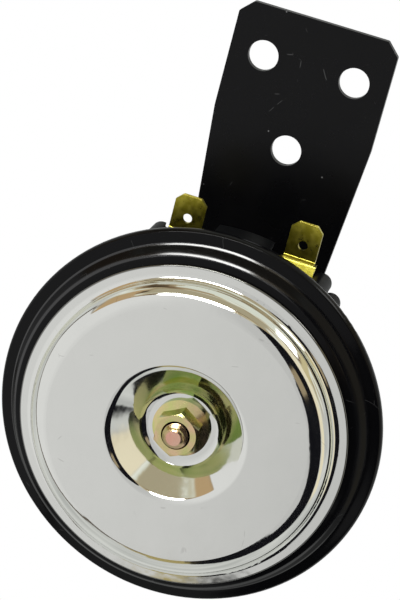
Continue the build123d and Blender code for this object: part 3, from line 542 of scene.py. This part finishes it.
def enamel_look(name, gloss, blur, wear):
    """Black gloss enamel, with the socket of its peel for a normal to go through."""
    material, tree, shader = bare_material(name)
    marks = place_effect(tree, scratch_group)
    scratched = tree.nodes.new("ShaderNodeMixRGB")
    scratched.inputs["Color1"].default_value = enamel_black
    scratched.inputs["Color2"].default_value = (*[scratch_grey * wear] * 3, 1)
    tree.links.new(marks.outputs["Scratches"], scratched.inputs["Fac"])
    dusty = tree.nodes.new("ShaderNodeMixRGB")
    dusty.inputs["Color2"].default_value = (*[0.16 * wear] * 3, 1)
    tree.links.new(marks.outputs["Specks"], dusty.inputs["Fac"])
    tree.links.new(scratched.outputs["Color"], dusty.inputs["Color1"])
    tree.links.new(dusty.outputs["Color"], shader.inputs["Base Color"])
    coordinates = tree.nodes.new("ShaderNodeTexCoord")
    dulling = tree.nodes.new("ShaderNodeTexNoise")
    dulling.inputs["Scale"].default_value = 90
    dulling.inputs["Detail"].default_value = 4
    tree.links.new(coordinates.outputs["Object"], dulling.inputs["Vector"])
    sheen = tree.nodes.new("ShaderNodeMapRange")
    sheen.inputs["From Min"].default_value = 0.3
    sheen.inputs["From Max"].default_value = 0.7
    sheen.inputs["To Min"].default_value = blur * 0.75
    sheen.inputs["To Max"].default_value = blur * 1.25
    tree.links.new(dulling.outputs["Fac"], sheen.inputs["Value"])
    tree.links.new(sheen.outputs["Result"], shader.inputs["Roughness"])
    shader.inputs["Specular IOR Level"].default_value = gloss
    peel = tree.nodes.new("ShaderNodeTexNoise")
    peel.inputs["Scale"].default_value = 700
    peel.inputs["Detail"].default_value = 2
    tree.links.new(coordinates.outputs["Object"], peel.inputs["Vector"])
    bump = tree.nodes.new("ShaderNodeBump")
    bump.inputs["Strength"].default_value = 0.12
    bump.inputs["Distance"].default_value = 0.00005
    tree.links.new(peel.outputs["Fac"], bump.inputs["Height"])
    tree.links.new(bump.outputs["Normal"], shader.inputs["Normal"])
    return material, tree, shader, bump


material, tree, shader, bump = enamel_look("black_enamel", 0.19, 0.28, 1.0)
give_material(material, "mounting_bracket", "housing")

def radius_effect():
    """Node group: distance from the horn's axis, from object coordinates, and the way out from it."""
    group, way_in, way_out = effect_group(
        "round_horn_axis", (), (("Radius", "NodeSocketFloat"), ("Outward", "NodeSocketVector"))
    )
    nodes, links = group.nodes, group.links
    coordinates = nodes.new("ShaderNodeTexCoord")
    from_axis = nodes.new("ShaderNodeVectorMath")
    from_axis.operation = "MULTIPLY_ADD"
    from_axis.inputs[1].default_value = (1, 0, 1)
    from_axis.inputs[2].default_value = (0, 0, -horn_axis_z)
    links.new(coordinates.outputs["Object"], from_axis.inputs[0])
    radius = nodes.new("ShaderNodeVectorMath")
    radius.operation = "LENGTH"
    links.new(from_axis.outputs["Vector"], radius.inputs[0])
    links.new(radius.outputs["Value"], way_out.inputs["Radius"])
    outward = nodes.new("ShaderNodeVectorMath")
    outward.operation = "NORMALIZE"
    links.new(from_axis.outputs["Vector"], outward.inputs[0])
    links.new(outward.outputs["Vector"], way_out.inputs["Outward"])
    return group


radius_group = radius_effect()


def leaning_effect():
    """Node group: normal that leans out from the horn's axis by an angle, on faces to the front."""
    group, way_in, way_out = effect_group(
        "leaning_normal", (("Lean", 0.0), ("Share", 1.0)), (("Normal", "NodeSocketVector"),)
    )
    nodes, links = group.nodes, group.links
    place = nodes.new("ShaderNodeGroup")
    place.node_tree = radius_group
    parts = []
    for operation, way in (("SINE", place.outputs["Outward"]), ("COSINE", None)):
        amount = nodes.new("ShaderNodeMath")
        amount.operation = operation
        links.new(way_in.outputs["Lean"], amount.inputs[0])
        part = nodes.new("ShaderNodeVectorMath")
        part.operation = "SCALE"
        part.inputs[0].default_value = (0, -1, 0)
        if way:
            links.new(way, part.inputs[0])
        links.new(amount.outputs[0], part.inputs["Scale"])
        parts.append(part)
    leaning = nodes.new("ShaderNodeVectorMath")
    leaning.operation = "ADD"
    links.new(parts[0].outputs["Vector"], leaning.inputs[0])
    links.new(parts[1].outputs["Vector"], leaning.inputs[1])
    in_the_room = nodes.new("ShaderNodeVectorTransform")
    in_the_room.vector_type = "NORMAL"
    in_the_room.convert_from = "OBJECT"
    in_the_room.convert_to = "WORLD"
    links.new(leaning.outputs["Vector"], in_the_room.inputs["Vector"])
    true_normal = nodes.new("ShaderNodeNewGeometry")
    facing = nodes.new("ShaderNodeVectorMath")
    facing.operation = "DOT_PRODUCT"
    facing.inputs[1].default_value = (0, -1, 0)
    links.new(true_normal.outputs["Normal"], facing.inputs[0])
    front_side = nodes.new("ShaderNodeMapRange")
    front_side.inputs["From Min"].default_value = 0.05
    front_side.inputs["From Max"].default_value = 0.15
    links.new(facing.outputs["Value"], front_side.inputs["Value"])
    share = nodes.new("ShaderNodeMath")
    share.operation = "MULTIPLY"
    links.new(front_side.outputs["Result"], share.inputs[0])
    links.new(way_in.outputs["Share"], share.inputs[1])
    mixed = nodes.new("ShaderNodeMix")
    mixed.data_type = "VECTOR"
    links.new(share.outputs[0], mixed.inputs["Factor"])
    links.new(true_normal.outputs["Normal"], mixed.inputs[4])
    links.new(in_the_room.outputs["Vector"], mixed.inputs[5])
    links.new(mixed.outputs[1], way_out.inputs["Normal"])
    return group


leaning_group = leaning_effect()


def placed_across(tree, inner, outer):
    """The radius effect, and a place from 0 to 1 between two radii."""
    radius = place_effect(tree, radius_group)
    across = tree.nodes.new("ShaderNodeMapRange")
    across.inputs["From Min"].default_value = inner
    across.inputs["From Max"].default_value = outer
    tree.links.new(radius.outputs["Radius"], across.inputs["Value"])
    return radius, across


def lean_curve(tree, across, points):
    """Curve of angles over a place from 0 to 1."""
    lean = tree.nodes.new("ShaderNodeFloatCurve")
    curve = lean.mapping.curves[0]
    curve.points[0].location = points[0]
    curve.points[1].location = points[-1]
    for point in points[1:-1]:
        curve.points.new(*point)
    lean.mapping.update()
    tree.links.new(across.outputs[0], lean.inputs["Value"])
    return lean


# On the front cover the enamel is thick enough to round the pressed step off: its face dips outward
# and runs in one soft curve down to the flat band of the rim. The curve is in the normals alone.
material, tree, shader, bump = enamel_look("cover_enamel", 0.24, 0.14, 0.45)
radius, across = placed_across(tree, cover_curve_starts, cover_curve_ends)
lean = lean_curve(tree, across, (
    (0.0, 0.25), (0.260, 0.26), (0.304, 0.44), (0.393, 0.62), (0.464, 0.68), (0.554, 0.68),
    (0.580, 0.62), (0.634, 0.48), (0.660, 0.22), (1.0, 0.20),
))
before_edge = tree.nodes.new("ShaderNodeMapRange")
before_edge.inputs["From Min"].default_value = cover_curve_ends
before_edge.inputs["From Max"].default_value = cover_edge_flat
tree.links.new(radius.outputs["Radius"], before_edge.inputs["Value"])
turned = place_effect(tree, leaning_group)
tree.links.new(lean.outputs["Value"], turned.inputs["Lean"])
tree.links.new(before_edge.outputs["Result"], turned.inputs["Share"])
tree.links.new(turned.outputs["Normal"], bump.inputs["Normal"])
gloss = lean_curve(
    tree, lean, ((0.0, 0.20), (0.36, 0.20), (0.48, 0.85), (0.58, 0.85), (0.66, 0.16), (1.0, 0.16))
)
tree.links.new(gloss.outputs["Value"], shader.inputs["Specular IOR Level"])
give_material(material, "front_cover")

# ---------------------------------------------------------------- tone disc
# One steel pressing with a bright chrome plate over a flange, a shoulder, a flat face and a centre
# cup. The plate is slightly cloudy and uneven, so that what it mirrors is soft in places.
material, tree, shader = bare_material("bright_chrome")
shader.inputs["Metallic"].default_value = 1.0
coordinates = tree.nodes.new("ShaderNodeTexCoord")
cloud = tree.nodes.new("ShaderNodeTexNoise")
cloud.inputs["Scale"].default_value = 140
cloud.inputs["Detail"].default_value = 4
tree.links.new(coordinates.outputs["Object"], cloud.inputs["Vector"])
plate_tint = tree.nodes.new("ShaderNodeMixRGB")
plate_tint.inputs["Color1"].default_value = (0.875, 0.880, 0.845, 1)
plate_tint.inputs["Color2"].default_value = (0.825, 0.832, 0.798, 1)
tree.links.new(cloud.outputs["Fac"], plate_tint.inputs["Fac"])
marks = place_effect(tree, scratch_group, Line_Scale=95.0, Speck_Scale=420.0)
scratched = tree.nodes.new("ShaderNodeMixRGB")
scratched.inputs["Color2"].default_value = (0.74, 0.74, 0.71, 1)
tree.links.new(marks.outputs["Scratches"], scratched.inputs["Fac"])
tree.links.new(plate_tint.outputs["Color"], scratched.inputs["Color1"])
spotted = tree.nodes.new("ShaderNodeMixRGB")
spotted.inputs["Color2"].default_value = (0.42, 0.41, 0.38, 1)
tree.links.new(marks.outputs["Specks"], spotted.inputs["Fac"])
tree.links.new(scratched.outputs["Color"], spotted.inputs["Color1"])
# Painted shade: from just inside the flange's edge outward the chrome's colour goes dark, standing in for the
# shade on the disc's rim at the gap to the front cover.
radius, across = placed_across(tree, disc_rim_shade_starts, disc_edge_starts)
rim_painted_shade = tree.nodes.new("ShaderNodeMixRGB")
rim_painted_shade.inputs["Color2"].default_value = (0.20, 0.20, 0.19, 1)
tree.links.new(across.outputs["Result"], rim_painted_shade.inputs["Fac"])
tree.links.new(spotted.outputs["Color"], rim_painted_shade.inputs["Color1"])
tree.links.new(rim_painted_shade.outputs["Color"], shader.inputs["Base Color"])
polish = tree.nodes.new("ShaderNodeMapRange")
polish.inputs["From Min"].default_value = 0.3
polish.inputs["From Max"].default_value = 0.7
polish.inputs["To Min"].default_value = 0.035
polish.inputs["To Max"].default_value = 0.085
tree.links.new(cloud.outputs["Fac"], polish.inputs["Value"])
tree.links.new(polish.outputs["Result"], shader.inputs["Roughness"])
waves = tree.nodes.new("ShaderNodeTexNoise")
waves.inputs["Scale"].default_value = 260
waves.inputs["Detail"].default_value = 2
tree.links.new(coordinates.outputs["Object"], waves.inputs["Vector"])
ripple = tree.nodes.new("ShaderNodeBump")
ripple.inputs["Strength"].default_value = 0.5
ripple.inputs["Distance"].default_value = 0.00004
tree.links.new(waves.outputs["Fac"], ripple.inputs["Height"])
radius, across = placed_across(tree, cup_wall_ends, cup_face_starts)
lean = lean_curve(tree, across, ((0.0, 0.733), (0.5, 0.40), (1.0, 0.0)))
inward = tree.nodes.new("ShaderNodeMath")
inward.operation = "MULTIPLY"
inward.inputs[1].default_value = -1
tree.links.new(lean.outputs["Value"], inward.inputs[0])
past_wall = tree.nodes.new("ShaderNodeMath")
past_wall.operation = "GREATER_THAN"
past_wall.inputs[1].default_value = cup_wall_ends
before_face = tree.nodes.new("ShaderNodeMath")
before_face.operation = "LESS_THAN"
before_face.inputs[1].default_value = cup_face_starts
on_rim = tree.nodes.new("ShaderNodeMath")
on_rim.operation = "MULTIPLY"
for index, limit in enumerate((past_wall, before_face)):
    tree.links.new(radius.outputs["Radius"], limit.inputs[0])
    tree.links.new(limit.outputs[0], on_rim.inputs[index])
turned = place_effect(tree, leaning_group)
tree.links.new(inward.outputs[0], turned.inputs["Lean"])
tree.links.new(on_rim.outputs[0], turned.inputs["Share"])
tree.links.new(turned.outputs["Normal"], ripple.inputs["Normal"])
tree.links.new(ripple.outputs["Normal"], shader.inputs["Normal"])
give_material(material, "tone_disc")

# ---------------------------------------------------------------- diaphragm and contact leaf
# Both are thin spring steel, clamped at one edge. The diaphragm is cut into equal sectors, and each is cut
# across its own middle line at even steps from the hub to the clamped edge. The leaf is cut across only near
# its tip, above the contact point, which is left as it is: on the real horn the leaf would lift that point
# off its contact.
sectors = 12
sector_angle = math.tau / sectors
diaphragm_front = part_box("diaphragm")[0][1]
hub_reach = 0.009
clamped_reach = 0.031
bends_across = 9
leaf_bends = 5
exact_cut = 0.0000001
leaf_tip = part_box("moving_contact_leaf")[1][2]
leaf_follows = leaf_tip - 0.0024
leaf_stays = leaf_tip - 0.0042


def deselected():
    """Leaves nothing selected, in object mode."""
    for piece in bpy.context.selected_objects:
        piece.select_set(False)


def only_selected(piece):
    """Makes a piece the only one selected, and the active one."""
    deselected()
    piece.select_set(True)
    bpy.context.view_layer.objects.active = piece


def merged_copy(node, name):
    """Copy of a CAD piece's mesh as a new piece, with its loose triangles joined."""
    deselected()
    piece = bpy.data.objects.new(name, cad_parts[node].data.copy())
    bpy.context.scene.collection.objects.link(piece)
    only_selected(piece)
    bpy.ops.object.mode_set(mode="EDIT")
    bpy.ops.mesh.select_all(action="SELECT")
    bpy.ops.mesh.remove_doubles(threshold=0.000001)
    bpy.ops.object.mode_set(mode="OBJECT")
    return piece


def cut_through(piece, point, normal, clear):
    """Cuts a piece with a plane, and drops what lies past it when asked."""
    only_selected(piece)
    bpy.ops.object.mode_set(mode="EDIT")
    bpy.ops.mesh.select_all(action="SELECT")
    bpy.ops.mesh.bisect(
        plane_co=point, plane_no=normal, clear_outer=clear, use_fill=clear, threshold=exact_cut
    )
    bpy.ops.object.mode_set(mode="OBJECT")


axis_point = Vector((0, diaphragm_front, horn_axis_z))
for index in range(sectors):
    middle = index * sector_angle
    sector = merged_copy("diaphragm", "diaphragm_sector_%02d" % (index + 1))
    for side in (1, -1):
        edge = middle + side * sector_angle / 2
        cut_through(sector, axis_point, (-side * math.sin(edge), 0, side * math.cos(edge)), True)
    out = Vector((math.cos(middle), 0, math.sin(middle)))
    for step in range(bends_across + 1):
        reach = hub_reach + (clamped_reach - hub_reach) * step / bends_across
        cut_through(sector, axis_point + out * reach, out, False)
    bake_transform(sector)
    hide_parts("diaphragm")

leaf = merged_copy("moving_contact_leaf", "flexing_leaf")
for step in range(leaf_bends + 1):
    level = leaf_stays + (leaf_follows - leaf_stays) * step / leaf_bends
    cut_through(leaf, (0, 0, level), (0, 0, 1), False)
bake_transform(leaf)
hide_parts("moving_contact_leaf")

# ---------------------------------------------------------------- flange nut and armature stud
# A cold-formed steel nut, countersunk at both ends, on a rolled thread. Both are zinc plated with a yellow
# passivation: tan on the nut's top, olive on its sides, and a coppery pink on the stud. The nut's olive sides
# are partly the passivation's own colour and partly a painted sheen, the green the film shows at grazing
# angles. The shade in the nut's front countersink is painted as a dark ring on its face.
thread_pitch = 0.0008
thread_crest = 0.00246
thread_root = 0.00200
stud_flat_radius = 0.00145
stud_bevel_radius = 0.00185
countersink_radius = 0.00285
countersink_edge = 0.00012
thread_lead_in = 0.00028
stud_bevel_slope = 1.1
thread_weld = 0.00001
steps_per_turn = 48


def at_home(piece):
    """Moves a finished piece's place into its mesh."""
    only_selected(piece)
    bpy.ops.object.transform_apply(location=True, rotation=True, scale=True)


stud_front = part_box("armature_stud")[0][1]
stud_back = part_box("armature_stud")[1][1]
thread_front = stud_front + thread_lead_in
turns = int((stud_back - stud_front) / thread_pitch) + 2
deselected()
bpy.ops.mesh.primitive_circle_add(vertices=5, radius=0.001, location=(0, thread_front, horn_axis_z))
stud = bpy.context.active_object
stud.name = "threaded_stud"
profile = (
    (thread_root, 0.0), (thread_root, 0.10), (thread_crest, 0.48), (thread_crest, 0.62), (thread_root, 1.0)
)
for vertex, (reach, along) in zip(stud.data.vertices, profile):
    vertex.co = (reach, (along - 1.5) * thread_pitch, 0)
bpy.ops.object.mode_set(mode="EDIT")
bpy.ops.mesh.select_mode(type="EDGE")
bpy.ops.mesh.select_all(action="DESELECT")
bpy.ops.object.mode_set(mode="OBJECT")
for edge in stud.data.edges:
    edge.select = set(edge.vertices) == {0, 4}
bpy.ops.object.mode_set(mode="EDIT")
bpy.ops.mesh.delete(type="EDGE")
bpy.ops.object.mode_set(mode="OBJECT")
winding = stud.modifiers.new("winding", "SCREW")
winding.axis = "Y"
winding.angle = math.tau
winding.screw_offset = thread_pitch
winding.iterations = turns
winding.steps = steps_per_turn
winding.render_steps = steps_per_turn
winding.use_merge_vertices = True
winding.merge_threshold = thread_weld
bpy.ops.object.modifier_apply(modifier="winding")
at_home(stud)
bpy.ops.object.mode_set(mode="EDIT")
bpy.ops.mesh.select_all(action="SELECT")
bpy.ops.mesh.remove_doubles(threshold=thread_weld)
bpy.ops.mesh.bisect(
    plane_co=(0, thread_front, horn_axis_z), plane_no=(0, -1, 0), clear_outer=True, threshold=exact_cut
)
bpy.ops.mesh.select_all(action="SELECT")
bpy.ops.mesh.bisect(
    plane_co=(0, stud_back, horn_axis_z), plane_no=(0, 1, 0), clear_outer=True, use_fill=True,
    threshold=exact_cut,
)
bpy.ops.mesh.select_all(action="DESELECT")
bpy.ops.object.mode_set(mode="OBJECT")
for vertex in stud.data.vertices:
    out = Vector((vertex.co.x, 0, vertex.co.z - horn_axis_z))
    chamfer_there = stud_bevel_radius + stud_bevel_slope * (vertex.co.y - thread_front)
    if out.length > chamfer_there:
        out *= chamfer_there / out.length
        vertex.co = (out.x, vertex.co.y, horn_axis_z + out.z)
    vertex.select = abs(vertex.co.y - thread_front) < 0.000002
for edge in stud.data.edges:
    edge.select = all(stud.data.vertices[index].select for index in edge.vertices)
bpy.ops.object.mode_set(mode="EDIT")
bpy.ops.mesh.extrude_region_move(TRANSFORM_OT_translate={"value": (0, stud_front - thread_front, 0)})
bpy.ops.object.mode_set(mode="OBJECT")
for vertex in stud.data.vertices:
    if vertex.select:
        across = Vector((vertex.co.x, 0, vertex.co.z - horn_axis_z)).normalized() * stud_flat_radius
        vertex.co = (across.x, stud_front, horn_axis_z + across.z)
bpy.ops.object.mode_set(mode="EDIT")
bpy.ops.mesh.edge_face_add()
bpy.ops.mesh.select_all(action="SELECT")
bpy.ops.mesh.remove_doubles(threshold=0.0000005)
bpy.ops.mesh.fill_holes(sides=6)
bpy.ops.mesh.normals_make_consistent(inside=False)
bpy.ops.object.mode_set(mode="OBJECT")
bpy.ops.object.shade_smooth_by_angle(angle=math.radians(18))
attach(stud, "armature_body")
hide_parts("armature_stud")


def facing_look(name, axis, limits, side_colours, facing_colours, roughness, patch_size=0.0045):
    """Metal with one pair of colours on faces turned toward an axis, and another pair on the rest."""
    material, tree, shader = bare_material(name)
    coordinates = tree.nodes.new("ShaderNodeTexCoord")
    drift = tree.nodes.new("ShaderNodeTexNoise")
    drift.inputs["Scale"].default_value = 1 / patch_size
    drift.inputs["Detail"].default_value = 3
    tree.links.new(coordinates.outputs["Object"], drift.inputs["Vector"])
    spread = tree.nodes.new("ShaderNodeMapRange")
    spread.inputs["From Min"].default_value = 0.38
    spread.inputs["From Max"].default_value = 0.62
    tree.links.new(drift.outputs["Fac"], spread.inputs["Value"])
    facing = tree.nodes.new("ShaderNodeSeparateXYZ")
    tree.links.new(coordinates.outputs["Normal"], facing.inputs["Vector"])
    turned = tree.nodes.new("ShaderNodeMapRange")
    turned.inputs["From Min"].default_value = limits[0]
    turned.inputs["From Max"].default_value = limits[1]
    tree.links.new(facing.outputs[axis], turned.inputs["Value"])
    chosen = tree.nodes.new("ShaderNodeMixRGB")
    tree.links.new(turned.outputs["Result"], chosen.inputs["Fac"])
    for socket, pair in (("Color1", side_colours), ("Color2", facing_colours)):
        tint = tree.nodes.new("ShaderNodeMixRGB")
        tint.inputs["Color1"].default_value = (*pair[0], 1)
        tint.inputs["Color2"].default_value = (*pair[1], 1)
        tree.links.new(spread.outputs["Result"], tint.inputs["Fac"])
        tree.links.new(tint.outputs["Color"], chosen.inputs[socket])
    tree.links.new(chosen.outputs["Color"], shader.inputs["Base Color"])
    shader.inputs["Metallic"].default_value = 1.0
    finish = place_effect(
        tree, grain_group, Patch_Scale=1100, Patch_Detail=4,
        Least_Roughness=roughness * 0.6, Most_Roughness=roughness * 1.5,
    )
    tree.links.new(finish.outputs["Roughness"], shader.inputs["Roughness"])
    bump = tree.nodes.new("ShaderNodeBump")
    bump.inputs["Strength"].default_value = 0.25
    bump.inputs["Distance"].default_value = 0.00004
    tree.links.new(finish.outputs["Patches"], bump.inputs["Height"])
    tree.links.new(bump.outputs["Normal"], shader.inputs["Normal"])
    return material, tree, shader, chosen


stud_finish = facing_look(
    "pink_passivated_zinc", "Y", (-0.70, -0.97),
    ((0.42, 0.40, 0.14), (0.56, 0.46, 0.24)), ((0.90, 0.50, 0.38), (0.88, 0.56, 0.42)), 0.22,
)[0]
stud.data.materials.clear()
stud.data.materials.append(stud_finish)
give_material(stud_finish, "armature_stud")
# Painted sheen, in part: the nut's faces that turn away from the front get the olive pair, standing in for
# the green the passivation shows at grazing angles.
material, tree, shader, chosen = facing_look(
    "yellow_passivated_zinc", "Y", (-0.35, -0.95),
    ((0.28, 0.40, 0.10), (0.62, 0.58, 0.28)), ((0.66, 0.66, 0.26), (0.86, 0.62, 0.38)), 0.16,
)
# Painted shade: inside the countersink's radius the nut's face is coloured near black, standing in for the
# shade in a countersink that the nut's mesh does not have.
reach = place_effect(tree, radius_group)
countersink = tree.nodes.new("ShaderNodeMapRange")
countersink.inputs["From Min"].default_value = countersink_radius
countersink.inputs["From Max"].default_value = countersink_radius - countersink_edge
tree.links.new(reach.outputs["Radius"], countersink.inputs["Value"])
countersink_painted_shade = tree.nodes.new("ShaderNodeMixRGB")
countersink_painted_shade.inputs["Color2"].default_value = (0.035, 0.022, 0.008, 1)
tree.links.new(countersink.outputs["Result"], countersink_painted_shade.inputs["Fac"])
tree.links.new(chosen.outputs["Color"], countersink_painted_shade.inputs["Color1"])
tree.links.new(countersink_painted_shade.outputs["Color"], shader.inputs["Base Color"])
give_material(material, "tone_disc_nut")

# ---------------------------------------------------------------- terminals
# Two tabs blanked from brass strip and left raw, dulled to olive. Faces turned upward, such as the bends and
# the top edges, are painted lighter: a painted highlight of the light from above. Each stands in a slot of
# the block and takes a push-on connector.
material, tree, shader, chosen = facing_look(
    "brass_strip", "Z", (0.25, 0.80),
    ((0.42, 0.36, 0.03), (0.62, 0.54, 0.07)), ((0.58, 0.52, 0.09), (0.66, 0.60, 0.14)), 0.30, 0.0015,
)
give_material(material, "terminal_left", "terminal_right")
